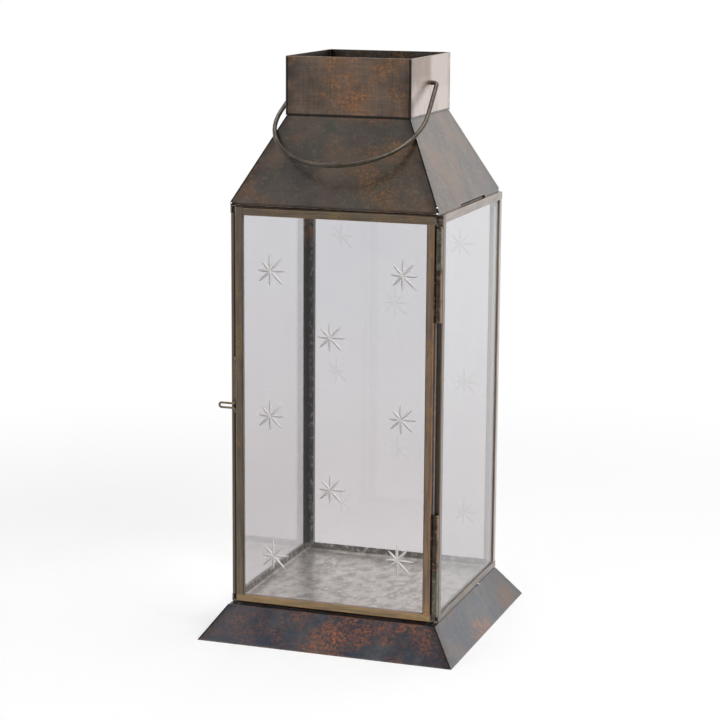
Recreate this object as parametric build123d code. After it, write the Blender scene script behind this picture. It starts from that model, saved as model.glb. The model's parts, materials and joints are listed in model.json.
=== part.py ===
from build123d import *
import os
from math import acos, atan2, cos, degrees, hypot, radians, sin, sqrt, tan

# Square lantern of soldered sheet metal and glass: a flared skirt, three fixed glazed sides, a glazed door
# on pinned hinges, a four-sided roof, an open chimney and a swinging wire bail.
# Millimetres. The origin is the middle of the base on the ground, +Z is up and the door faces -Y.

# Skirt: four sloping plates, hemmed at the bottom, with a ledge turned in at the top
BASE_WIDTH = 206.5
SKIRT_HEIGHT = 25.9
SKIRT_SHEET = 0.8
SKIRT_LEDGE = 14.0
SKIRT_HEM = 6.0
SKIRT_FOLD = 1.6

# Body: width over the two sides, and height of the glazed sides above the skirt
BODY_WIDTH = 169.0
PANEL_HEIGHT = 312.5

# Glazing channels and glass
CAME_FACE = 6.0
CAME_SHEET = 0.8
CAME_FOLD = 1.2
GLASS = 2.2
GLASS_PLAY = 0.3
GLASS_EDGE_GAP = 1.0
GLASS_ARRIS = 0.3

# Floor tray and the angles inside the two rear corners
TRAY_SHEET = 0.7
TRAY_LIP = 7.3
TRAY_FOLD = 1.2
ANGLE_SHEET = 0.7
ANGLE_SIDE_LEG = 8.3
ANGLE_BACK_LEG = 6.0

# Door stops: sheet angles inside the two front stiles, behind the door
STOP_SHEET = 0.7
STOP_FRONT_LEG = 4.0
STOP_SIDE_LEG = 5.5

# Door: how far it stands behind the skirt's top edge, and the gaps round it
DOOR_SETBACK = 3.0
DOOR_STOP_GAP = 0.7
DOOR_TOP_GAP = 0.8
DOOR_BOTTOM_GAP = 1.6
DOOR_LEFT_MARGIN = 5.7

# Hinges: tubes soldered on narrow leaves, the lower one set from the skirt's top, the upper one
# from the panels' top
KNUCKLE_DIAMETER = 5.0
PIN_DIAMETER = 3.0
PIN_PLAY = 0.05
PIN_HEAD_DIAMETER = 4.4
PIN_HEAD = 1.8
PIN_CHAMFER = 0.6
PIN_TAIL = 0.6
LEAF_SHEET = 0.6
LEAF_WIDTH = 4.0
LEAF_OVERRUN = 7.0
SOLDER_WIDTH = 1.8
KNUCKLE_GAP = 0.3
UPPER_HINGE_DROP = 9.7
UPPER_FRAME_KNUCKLE = 30.5
UPPER_DOOR_KNUCKLE = 39.0
LOWER_FRAME_KNUCKLE_LOW = 6.7
LOWER_FRAME_KNUCKLE = 35.0
LOWER_DOOR_KNUCKLE = 41.8

# Catch: one wire bent to a hairpin pull on the door's free edge, heights from the skirt's top
CATCH_WIRE = 1.7
CATCH_BEND = 2.0
CATCH_HEIGHT = 157.5
CATCH_PITCH = 3.6
CATCH_REACH = 15.2
CATCH_UPPER_TAIL = 37.0
CATCH_LOWER_TAIL = 3.5

# Roof: a flat frame that seats it on the panels, and four plates with a lip at the eaves, set in from
# the body and cut short over the door, and an upstand inside the chimney
SEAT_SHEET = 1.0
SEAT_WIDTH = 9.0
SEAT_PLAY = 0.3
EAVE_INSET = 2.3
EAVE_LIP = 3.3
DOOR_EAVE_LIP = 1.2
ROOF_RISE = 63.9
ROOF_SHEET = 0.8
ROOF_FOLD = 1.6
ROOF_UPSTAND = 6.0
UPSTAND_PLAY = 0.1
SEAM = 0.4
VENT_LENGTH = 66.0
VENT_OFFSET = 8.0
VENT_HEIGHT = 2.2

# Wires are drawn with this many flats
WIRE_SIDES = 16

# Chimney and bail
CHIMNEY_WIDTH = 100.0
CHIMNEY_HEIGHT = 44.4
CHIMNEY_SHEET = 0.8
BAIL_WIRE = 3.4
BAIL_PLAY = 0.08
BAIL_PIVOT_DROP = 20.6
BAIL_STUB = 7.0
BAIL_STANDOFF = 4.6
BAIL_BEND = 3.4
BAIL_SPREAD = 4.4
BAIL_REACH = 48.5
BAIL_REST_GAP = 0.3

# Places that follow from the sizes above
BODY_HALF = BODY_WIDTH / 2
CAME_DEPTH = GLASS + 2 * (GLASS_PLAY + CAME_SHEET)
INSIDE_HALF = BODY_HALF - CAME_DEPTH
PANEL_TOP = SKIRT_HEIGHT + PANEL_HEIGHT
DOOR_FRONT = DOOR_SETBACK - BODY_HALF
PANEL_FRONT = DOOR_FRONT + CAME_DEPTH + DOOR_STOP_GAP
PANEL_LENGTH = BODY_HALF - PANEL_FRONT
KNUCKLE_SEAT = KNUCKLE_DIAMETER / 2 + LEAF_SHEET
HINGE_X = BODY_HALF - CAME_DEPTH / 2
HINGE_Y = PANEL_FRONT - KNUCKLE_SEAT
DOOR_LEFT = DOOR_LEFT_MARGIN - BODY_HALF
DOOR_RIGHT = HINGE_X - KNUCKLE_SEAT
DOOR_BOTTOM = SKIRT_HEIGHT + DOOR_BOTTOM_GAP
DOOR_TOP = PANEL_TOP - DOOR_TOP_GAP
TRAY_TOP = SKIRT_HEIGHT + TRAY_LIP
EAVE_HALF = BODY_HALF - EAVE_INSET
EAVE_HEIGHT = PANEL_TOP + EAVE_LIP
ROOF_TOP = EAVE_HEIGHT + ROOF_RISE
CHIMNEY_HALF = CHIMNEY_WIDTH / 2
UPSTAND_HALF = CHIMNEY_HALF - CHIMNEY_SHEET - UPSTAND_PLAY
CHIMNEY_TOP = ROOF_TOP + CHIMNEY_HEIGHT
BAIL_HEIGHT = CHIMNEY_TOP - BAIL_PIVOT_DROP
BAIL_LEG_HALF = CHIMNEY_HALF + BAIL_STANDOFF
BAIL_RADIUS = BAIL_LEG_HALF + BAIL_SPREAD
BAIL_SPAN = hypot(BAIL_LEG_HALF, BAIL_REACH)
BAIL_SPLAY = degrees(atan2(BAIL_REACH, BAIL_LEG_HALF)) - degrees(acos(BAIL_RADIUS / BAIL_SPAN))

SIDES = ("front", "right", "back", "left")


def folded_sheet(line, fold, thickness):
    """Section of a folded sheet in the YZ plane: its outside follows the line, the metal is on the right."""
    outside = FilletPolyline(*line, radius=fold)
    return Plane.YZ * make_face(outside.offset_2d(thickness, kind=Kind.ARC, side=Side.RIGHT, closed=True))


def mitred_plate(section, half_width):
    """Front plate of a four-sided shell above the ground: a section run along X, mitred at both ends."""
    apex = -SEAM / sqrt(2)
    corner = apex - half_width
    wedge = make_face(Polyline((0, apex), (-half_width, corner), (half_width, corner), close=True))
    return extrude(section, half_width, both=True) & extrude(wedge, CHIMNEY_TOP)


def four_sides(name, plate):
    """Copies of a front plate turned to the front, right, back and left."""
    return {f"{name}_{side}": Rot(0, 0, 90 * turn) * plate for turn, side in enumerate(SIDES)}


def bent_wire(start, heading, moves, diameter):
    """Round wire bent in the XY plane: a number is a straight run, a pair is a bend's radius and degrees."""
    point = Vector(start)
    tangent = Vector(heading)
    edges = []
    for move in moves:
        if isinstance(move, tuple):
            edge = JernArc(point, tangent, radius=move[0], arc_size=move[1])
        else:
            edge = Line(point, point + tangent * move)
        edges.append(edge)
        point = edge @ 1
        tangent = edge % 1
    path = Wire(edges)
    return sweep(Plane(path @ 0, z_dir=path % 0) * RegularPolygon(diameter / 2, WIRE_SIDES), path=path)


def came(length):
    """Glazing channel along X with its web below and its slot open upwards."""
    deep = CAME_DEPTH - CAME_SHEET
    outline = Polyline(
        (0, 0), (CAME_DEPTH, 0), (CAME_DEPTH, CAME_FACE), (deep, CAME_FACE),
        (deep, CAME_SHEET), (CAME_SHEET, CAME_SHEET), (CAME_SHEET, CAME_FACE), (0, CAME_FACE), close=True)
    section = make_face(outline)
    section = fillet(section.vertices().group_by(Axis.Y)[0], CAME_FOLD)
    return extrude(Plane.YZ * section, length)


def glazed_frame(width, height):
    """Rails, stiles and pane in the XZ plane, lower left corner at the origin, outside face at y = 0.

    The rails run through at every corner but the top left one, where the stile does.
    """
    stile = height - 2 * CAME_FACE
    inset = CAME_SHEET + GLASS_EDGE_GAP
    pane = Box(width - 2 * inset, GLASS, height - 2 * inset)
    return {
        "bottom_rail": came(width),
        "top_rail": Pos(CAME_FACE, CAME_DEPTH, height) * Rot(180, 0, 0) * came(width - CAME_FACE),
        "left_stile": Pos(0, 0, height) * Rot(0, 90, 0) * came(stile + CAME_FACE),
        "right_stile": Pos(width, 0, CAME_FACE) * Rot(0, -90, 0) * came(stile),
        "pane": Pos(width / 2, CAME_DEPTH / 2, height / 2) * chamfer(pane.edges(), GLASS_ARRIS),
    }


def glazed_sides():
    """The three fixed panels: two sides that reach the door, and a back set between them."""
    side = glazed_frame(PANEL_LENGTH, PANEL_HEIGHT)
    back = glazed_frame(2 * INSIDE_HALF, PANEL_HEIGHT)
    right_place = Location((BODY_HALF, PANEL_FRONT, SKIRT_HEIGHT), (0, 0, 90))
    left_place = Location((-BODY_HALF, BODY_HALF, SKIRT_HEIGHT), (0, 0, -90))
    back_place = Location((INSIDE_HALF, BODY_HALF, SKIRT_HEIGHT), (0, 0, 180))
    right_names = {"left_stile": "front_stile", "right_stile": "rear_stile"}
    left_names = {"left_stile": "rear_stile", "right_stile": "front_stile"}
    back_names = {"left_stile": "right_stile", "right_stile": "left_stile"}
    nodes = {}
    for key in side:
        nodes["right_side_" + right_names.get(key, key)] = right_place * side[key]
        nodes["left_side_" + left_names.get(key, key)] = left_place * side[key]
        nodes["back_" + back_names.get(key, key)] = back_place * back[key]
    return nodes


def header():
    """Channel between the two sides over the door, with its slot downwards."""
    return Pos(-INSIDE_HALF, PANEL_FRONT + CAME_DEPTH, PANEL_TOP) * Rot(180, 0, 0) * came(2 * INSIDE_HALF)


def skirt():
    """Four sloping plates with a ledge for the body and a hem that stands on the ground."""
    foot = Vector(-BASE_WIDTH / 2, 0)
    shoulder = Vector(-BODY_HALF, SKIRT_HEIGHT)
    fall = (foot - shoulder).normalized()
    inward = Vector(-fall.Y, fall.X) * SKIRT_SHEET
    below = foot + fall * SKIRT_HEM
    hem_top = foot - fall * SKIRT_HEM
    sheet = folded_sheet([below, shoulder, shoulder + Vector(SKIRT_LEDGE, 0)], SKIRT_FOLD, SKIRT_SHEET)
    hem_outline = [below + inward, hem_top + inward, hem_top + inward * 2, below + inward * 2]
    hem = Plane.YZ * make_face(Polyline(*hem_outline, close=True))
    return four_sides("skirt", mitred_plate(sheet, BASE_WIDTH) + mitred_plate(hem, BASE_WIDTH))


def floor_tray():
    """Shallow tray between the panels, resting on the skirt's ledges, with a lip all round."""
    width = 2 * INSIDE_HALF
    length = INSIDE_HALF - PANEL_FRONT
    standing = (Align.CENTER, Align.CENTER, Align.MIN)
    outside = Box(width, length, TRAY_LIP, align=standing)
    outside = fillet(outside.edges().group_by(Axis.Z)[0], TRAY_FOLD)
    hollow = Box(width - 2 * TRAY_SHEET, length - 2 * TRAY_SHEET, TRAY_LIP, align=standing)
    hollow = fillet(hollow.edges().group_by(Axis.Z)[0], TRAY_FOLD - TRAY_SHEET)
    return Pos(0, (INSIDE_HALF + PANEL_FRONT) / 2, SKIRT_HEIGHT) * (outside - Pos(0, 0, TRAY_SHEET) * hollow)


def sheet_angle(across, along, sheet, height):
    """Upright sheet angle with its outer corner on the Z axis, its legs towards -X and -Y."""
    section = make_face(Polyline(
        (0, 0), (-across, 0), (-across, -sheet), (-sheet, -sheet), (-sheet, -along), (0, -along), close=True))
    return extrude(section, height)


def corner_angles():
    """Sheet angles soldered up the two inside rear corners, standing on the tray's lip."""
    angle = sheet_angle(ANGLE_BACK_LEG, ANGLE_SIDE_LEG, ANGLE_SHEET, PANEL_TOP - TRAY_TOP)
    right = Pos(INSIDE_HALF, INSIDE_HALF, TRAY_TOP) * angle
    return {"rear_corner_angle_right": right, "rear_corner_angle_left": mirror(right, Plane.YZ)}


def door_stops():
    """Sheet angles that the door closes on, from the tray's lip up to the header."""
    angle = sheet_angle(STOP_FRONT_LEG, STOP_SIDE_LEG, STOP_SHEET, PANEL_TOP - CAME_FACE - TRAY_TOP)
    right = Pos(INSIDE_HALF, PANEL_FRONT, TRAY_TOP) * mirror(angle, Plane.XZ)
    return {"door_stop_right": right, "door_stop_left": mirror(right, Plane.YZ)}


def roof_seat():
    """Flat frame on top of the panels, inside the roof's lip."""
    outside = EAVE_HALF - ROOF_SHEET - SEAT_PLAY
    inside = outside - SEAT_WIDTH
    depth = outside - PANEL_FRONT
    frame = Rectangle(2 * outside, depth) - Rectangle(2 * inside, depth - 2 * SEAT_WIDTH)
    return Pos(0, (outside + PANEL_FRONT) / 2, PANEL_TOP) * extrude(frame, SEAT_SHEET)


def roof_plate(lip):
    """Front plate of the roof, from a lip of that height at the eaves to the upstand in the chimney."""
    section = folded_sheet(
        [(-EAVE_HALF, EAVE_HEIGHT - lip), (-EAVE_HALF, EAVE_HEIGHT), (-UPSTAND_HALF, ROOF_TOP),
         (-UPSTAND_HALF, ROOF_TOP + ROOF_UPSTAND)], ROOF_FOLD, ROOF_SHEET)
    return mitred_plate(section, BODY_WIDTH)


def roof():
    """Four plates that rest on the panels, with a short lip over the door and vents in two sides' lips."""
    nodes = four_sides("roof", roof_plate(EAVE_LIP))
    nodes["roof_front"] = roof_plate(DOOR_EAVE_LIP)
    for side, out in (("right", 1), ("left", -1)):
        vent = Box(EAVE_HALF / 2, VENT_LENGTH, 2 * VENT_HEIGHT)
        nodes["roof_" + side] -= Pos(out * EAVE_HALF, VENT_OFFSET, PANEL_TOP) * vent
    return nodes


def chimney():
    """Open square collar folded from one sheet, with a hole for the bail in each side."""
    outside = RectangleRounded(CHIMNEY_WIDTH, CHIMNEY_WIDTH, CHIMNEY_SHEET)
    inside_width = CHIMNEY_WIDTH - 2 * CHIMNEY_SHEET
    walls = Pos(0, 0, ROOF_TOP) * extrude(outside - Rectangle(inside_width, inside_width), CHIMNEY_HEIGHT)
    hole = Cylinder(BAIL_WIRE / 2 + BAIL_PLAY, 2 * CHIMNEY_WIDTH, rotation=(0, 90, 0))
    return walls - Pos(0, 0, BAIL_HEIGHT) * hole


def hip_edges():
    """Start and direction of the metal edges on both sides of the front right hip's seam."""
    cut = SEAM / sqrt(2)
    for back, side in ((cut, 0), (0, cut)):
        low = Vector(EAVE_HALF - back, side - EAVE_HALF, EAVE_HEIGHT)
        high = Vector(UPSTAND_HALF - back, side - UPSTAND_HALF, ROOF_TOP)
        yield low, (high - low).normalized()


def bail_half():
    """Points on the centre line of the bail's right half: across the lantern, and out from the pivot."""
    bow = [radians(turn) for turn in range(-int(BAIL_SPLAY), 91)]
    curve = [(BAIL_RADIUS * cos(turn), BAIL_REACH + BAIL_RADIUS * sin(turn)) for turn in bow]
    knee_across, knee_out = curve[0]
    for tenth in range(1, 10):
        share = tenth / 10
        curve.append((BAIL_LEG_HALF + (knee_across - BAIL_LEG_HALF) * share, knee_out * share))
    return curve


def bail_clearance(drop):
    """Distance of the wire's centre line from the front right hip, with the bail that far below level."""
    tilt = radians(drop)
    wire = [Vector(across, -out * cos(tilt), BAIL_HEIGHT - out * sin(tilt)) for across, out in bail_half()]
    hips = list(hip_edges())
    return min((point - low).cross(edge).length for point in wire for low, edge in hips)


def bail_rest_drop():
    """Angle below level at which the wire comes to rest on the two front hips of the roof."""
    drop = 0.0
    for step in (1.0, 0.05):
        while drop < 90 and bail_clearance(drop + step) > BAIL_WIRE / 2 + BAIL_REST_GAP:
            drop += step
    return drop + step


def bail():
    """Wire handle: stubs through the chimney, splayed legs and a round bow, resting on the front hips."""
    corner = 90 - BAIL_SPLAY
    corner_run = BAIL_BEND * tan(radians(corner / 2))
    leg = sqrt(BAIL_SPAN ** 2 - BAIL_RADIUS ** 2) - corner_run
    stub_end = CHIMNEY_HALF - CHIMNEY_SHEET - BAIL_STUB
    stub = BAIL_LEG_HALF - stub_end - corner_run
    bend = (BAIL_BEND, corner)
    bow = (BAIL_RADIUS, 180 + 2 * BAIL_SPLAY)
    wire = bent_wire((stub_end, 0), (1, 0), [stub, bend, leg, bow, leg, bend, stub], BAIL_WIRE)
    drop = radians(bail_rest_drop())
    return Plane((0, 0, BAIL_HEIGHT), x_dir=(1, 0, 0), z_dir=(0, sin(drop), -cos(drop))) * wire


def knuckle(tube_low, tube, leaf_low, leaf):
    """Hinge tube on the Z axis soldered to a flat leaf on its +Y side; the lengths run upwards."""
    radius = KNUCKLE_DIAMETER / 2
    solder = Pos(0, radius, 0) * Rectangle(SOLDER_WIDTH, LEAF_SHEET)
    ring = Circle(radius) + solder - Circle(PIN_DIAMETER / 2 + PIN_PLAY)
    plate = Pos(0, radius + LEAF_SHEET / 2, 0) * Rectangle(LEAF_WIDTH, LEAF_SHEET)
    return Pos(0, 0, tube_low) * extrude(ring, tube) + Pos(0, 0, leaf_low) * extrude(plate, leaf)


def pin(low, high):
    """Hinge pin with a chamfered head that sits over the upper tube."""
    head = Cylinder(PIN_HEAD_DIAMETER / 2, PIN_HEAD, align=(Align.CENTER, Align.CENTER, Align.MIN))
    head = chamfer(head.edges().group_by(Axis.Z)[-1], PIN_CHAMFER)
    shank = Cylinder(PIN_DIAMETER / 2, high - low + PIN_TAIL, align=(Align.CENTER, Align.CENTER, Align.MAX))
    return Pos(0, 0, high) * (head + shank)


def hinges():
    """Two pinned hinges: the frame's tube is uppermost in one and lowermost in the other."""
    axis = Pos(HINGE_X, HINGE_Y, SKIRT_HEIGHT)
    door_axis = axis * Rot(0, 0, 90)
    upper_top = PANEL_HEIGHT - UPPER_HINGE_DROP
    upper_frame_low = upper_top - UPPER_FRAME_KNUCKLE
    upper_door_low = upper_frame_low - KNUCKLE_GAP - UPPER_DOOR_KNUCKLE
    lower_door_low = LOWER_FRAME_KNUCKLE_LOW + LOWER_FRAME_KNUCKLE + KNUCKLE_GAP
    lower_top = lower_door_low + LOWER_DOOR_KNUCKLE
    upper_leaf = UPPER_FRAME_KNUCKLE + LEAF_OVERRUN
    return {
        "hinge_upper_frame_knuckle": axis * knuckle(
            upper_frame_low, UPPER_FRAME_KNUCKLE, upper_frame_low, upper_leaf),
        "hinge_upper_door_knuckle": door_axis * knuckle(
            upper_door_low, UPPER_DOOR_KNUCKLE, upper_door_low, UPPER_DOOR_KNUCKLE),
        "hinge_lower_door_knuckle": door_axis * knuckle(
            lower_door_low, LOWER_DOOR_KNUCKLE, lower_door_low, LOWER_DOOR_KNUCKLE),
        "hinge_lower_frame_knuckle": axis * knuckle(
            LOWER_FRAME_KNUCKLE_LOW, LOWER_FRAME_KNUCKLE, LOWER_FRAME_KNUCKLE_LOW, LOWER_FRAME_KNUCKLE),
        "hinge_upper_pin": axis * pin(upper_door_low, upper_top),
        "hinge_lower_pin": axis * pin(LOWER_FRAME_KNUCKLE_LOW, lower_top + KNUCKLE_GAP),
    }


def door():
    """Glazed door in front of the sides, with its rails across the full width."""
    place = Pos(DOOR_LEFT, DOOR_FRONT, DOOR_BOTTOM)
    frame = glazed_frame(DOOR_RIGHT - DOOR_LEFT, DOOR_TOP - DOOR_BOTTOM)
    names = {"left_stile": "catch_stile", "right_stile": "hinge_stile"}
    return {"door_" + names.get(key, key): place * shape for key, shape in frame.items()}


def catch_wire():
    """Hairpin pull soldered by its two tails to the door's free edge."""
    loop = CATCH_PITCH / 2
    along = DOOR_LEFT - CATCH_WIRE / 2
    upper = SKIRT_HEIGHT + CATCH_HEIGHT + loop
    run = CATCH_REACH - CATCH_WIRE - CATCH_BEND - loop
    moves = [CATCH_UPPER_TAIL - CATCH_BEND, (CATCH_BEND, -90), run, (loop, 180), run, (CATCH_BEND, -90),
             CATCH_LOWER_TAIL - CATCH_BEND]
    wire = bent_wire((along, upper + CATCH_UPPER_TAIL), (0, -1), moves, CATCH_WIRE)
    return Plane((0, DOOR_FRONT + CAME_DEPTH / 2, 0), x_dir=(1, 0, 0), z_dir=(0, -1, 0)) * wire


nodes = {
    **skirt(), "floor_tray": floor_tray(), **glazed_sides(), "front_header": header(), **corner_angles(),
    **door_stops(), "roof_seat": roof_seat(), **roof(), "chimney": chimney(), "bail": bail(), **hinges(),
    **door(), "door_catch_wire": catch_wire(),
}
os.makedirs("parts", exist_ok=True)
for name, shape in nodes.items():
    export_step(shape, f"parts/{name}.step")
print(f"{len(nodes)} nodes, bail rests {bail_rest_drop():.2f} degrees below level")
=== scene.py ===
import json
import logging
import math
import random
from dataclasses import dataclass, field, replace
from enum import Enum
from typing import Any

import bpy
from mathutils import Matrix, Vector


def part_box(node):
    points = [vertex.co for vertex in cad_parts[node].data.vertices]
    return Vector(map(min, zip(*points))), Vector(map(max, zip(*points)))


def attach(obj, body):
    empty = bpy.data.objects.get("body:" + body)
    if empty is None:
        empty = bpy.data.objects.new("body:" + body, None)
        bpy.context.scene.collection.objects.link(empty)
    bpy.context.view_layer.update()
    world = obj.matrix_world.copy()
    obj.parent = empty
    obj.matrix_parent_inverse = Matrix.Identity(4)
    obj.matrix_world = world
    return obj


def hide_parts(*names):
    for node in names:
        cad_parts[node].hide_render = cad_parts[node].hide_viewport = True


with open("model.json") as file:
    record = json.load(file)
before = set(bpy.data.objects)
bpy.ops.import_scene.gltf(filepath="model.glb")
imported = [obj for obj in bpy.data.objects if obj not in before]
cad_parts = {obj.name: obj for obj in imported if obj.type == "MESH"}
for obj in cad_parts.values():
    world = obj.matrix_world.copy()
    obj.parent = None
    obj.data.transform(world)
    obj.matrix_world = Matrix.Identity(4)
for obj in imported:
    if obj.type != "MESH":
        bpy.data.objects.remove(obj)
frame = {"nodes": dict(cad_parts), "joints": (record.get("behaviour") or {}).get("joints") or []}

# Looks of a square glass lantern: patinated copper sheet, brass glazing channels, a galvanised floor,
# clear panes with wheel-cut stars, bent wires and soldered seams.
# Metres, in the part's own frame, with the door towards -Y, unless a name or a docstring says millimetres.

log = logging.getLogger("lantern")
MM = 0.001
SMOOTHSTEP = {"interpolation_type": "SMOOTHSTEP"}
FLOAT_MIX = {"data_type": "FLOAT"}
GLASS_IOR = 1.5
PUTTY_MARGIN = 0.4 * MM
# Waxed and tarnished metal, from its clean to its covered patches
SHEET_ROUGH = (0.32, 0.42)
Socket = bpy.types.NodeSocket


class Along(Enum):
    """The frame axis that a long piece runs along."""

    X = 0
    Y = 1
    Z = 2


class Layer(Enum):
    """How a layer of colour lies on those below it."""

    OVER = "MIX"
    SHADE = "MULTIPLY"


class CutFace(Enum):
    """The face of a pane that its stars are cut into."""

    FRONT = 0
    BACK = 1


def linear(hex_colour: str) -> tuple[float, float, float, float]:
    """Turn an sRGB hex colour into the linear colour that a shader takes.

    Args:
        hex_colour: Six hex digits after a hash.

    Returns:
        Linear red, green and blue, with an alpha of 1.
    """
    channels = [int(hex_colour[place:place + 2], 16) / 255 for place in (1, 3, 5)]
    curved = [c / 12.92 if c <= 0.04045 else ((c + 0.055) / 1.055) ** 2.4 for c in channels]
    return (curved[0], curved[1], curved[2], 1.0)


def add_node(
    tree: bpy.types.NodeTree,
    kind: str,
    settings: dict[str, Any] | None = None,
    sockets: dict[str | int, Any] | None = None,
) -> bpy.types.Node:
    """Add a node with its settings, its socket values and the links that feed it.

    Args:
        tree: Node tree that takes the node.
        kind: Blender's name of the node type, without its ShaderNode.
        settings: Properties of the node.
        sockets: Input values, or output sockets of other nodes to link, by input name or number.

    Returns:
        The new node.
    """
    node = tree.nodes.new(f"ShaderNode{kind}")
    for key, value in (settings or {}).items():
        setattr(node, key, value)
    for key, value in (sockets or {}).items():
        if isinstance(value, Socket):
            tree.links.new(value, node.inputs[key])
        else:
            node.inputs[key].default_value = value
    return node


class Surface:
    """A material under construction: layers of colour, then its shine and its relief."""

    def __init__(self, name: str, ground: str) -> None:
        """Start a material on the piece's Object coordinates.

        Args:
            name: Name of the material.
            ground: Its first colour.
        """
        self.material = bpy.data.materials.new(name)
        self.material.use_nodes = True
        self.tree = self.material.node_tree
        self.shader = self.tree.nodes["Principled BSDF"]
        self.place = add_node(self.tree, "TexCoord").outputs["Object"]
        self.axes = add_node(self.tree, "SeparateXYZ", None, {0: self.place}).outputs
        self.colour: Any = linear(ground)

    def cloud(
        self,
        size_mm: float,
        span: tuple[float, float],
        stretch: tuple[float, float, float] = (1.0, 1.0, 1.0),
        detail: float = 4.0,
        shift: float = 0.0,
    ) -> Socket:
        """Soft patches of a real size, as a mask from 0 to 1.

        Args:
            size_mm: Width of a patch.
            span: Noise values at which the mask starts and is full.
            stretch: How many times longer a patch is along each axis.
            detail: Octaves of finer noise.
            shift: Offset along X, in patches, that gives each use its own.

        Returns:
            The mask's socket.
        """
        scale = [1 / (size_mm * MM * times) for times in stretch]
        mapped = add_node(self.tree, "Mapping", None, {
            "Vector": self.place, "Location": (shift, 0, 0), "Scale": scale})
        noise = add_node(self.tree, "TexNoise", None, {
            "Vector": mapped.outputs[0], "Scale": 1.0, "Detail": detail, "Roughness": 0.6})
        return add_node(self.tree, "MapRange", SMOOTHSTEP, {
            "Value": noise.outputs[0], "From Min": span[0], "From Max": span[1]}).outputs[0]

    def paint(
        self, over: str, masks: tuple[Socket, ...], strength: float = 1.0, layer: Layer = Layer.OVER
    ) -> None:
        """Lay a colour over the layers so far, where all its masks meet.

        Args:
            over: The colour.
            masks: Masks that are multiplied together.
            strength: Share of the colour where the masks are full.
            layer: How it lies on the layers below.
        """
        share: Any = strength
        for mask in masks:
            share = add_node(self.tree, "Math", {"operation": "MULTIPLY"}, {0: mask, 1: share}).outputs[0]
        self.colour = add_node(self.tree, "Mix", {"data_type": "RGBA", "blend_type": layer.value}, {
            0: share, 6: self.colour, 7: linear(over)}).outputs[2]

    def finish(
        self,
        gloss: Socket,
        rough: tuple[float, float],
        relief: Socket,
        relief_mm: float,
        metallic: float | Socket,
        coat: float = 0.0,
    ) -> bpy.types.Material:
        """Link the colour, roughness and relief to the shader.

        Args:
            gloss: Mask that runs from the first roughness to the second.
            rough: Roughness where the mask is 0 and where it is 1.
            relief: Mask that raises the surface.
            relief_mm: Height of the relief.
            metallic: Share of bare metal.
            coat: Weight of a thin clear wax.

        Returns:
            The finished material.
        """
        inputs = self.shader.inputs
        roughness = add_node(self.tree, "MapRange", None, {
            "Value": gloss, "To Min": rough[0], "To Max": rough[1]})
        bump = add_node(self.tree, "Bump", None, {
            "Strength": 1.0, "Distance": relief_mm * MM, "Height": relief})
        self.tree.links.new(self.colour, inputs["Base Color"])
        self.tree.links.new(roughness.outputs[0], inputs["Roughness"])
        self.tree.links.new(bump.outputs[0], inputs["Normal"])
        if isinstance(metallic, Socket):
            self.tree.links.new(metallic, inputs["Metallic"])
        else:
            inputs["Metallic"].default_value = metallic
        inputs["Coat Weight"].default_value = coat
        inputs["Coat Roughness"].default_value = 0.2
        return self.material

    def glaze(self, rough: float, transmission: float) -> bpy.types.Material:
        """Link the colour and make the shader one of glass.

        Args:
            rough: Roughness of the glass.
            transmission: Share of the light that goes through.

        Returns:
            The finished material.
        """
        self.tree.links.new(self.colour, self.shader.inputs["Base Color"])
        self.shader.inputs["Roughness"].default_value = rough
        self.shader.inputs["IOR"].default_value = GLASS_IOR
        self.shader.inputs["Transmission Weight"].default_value = transmission
        return self.material


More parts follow.
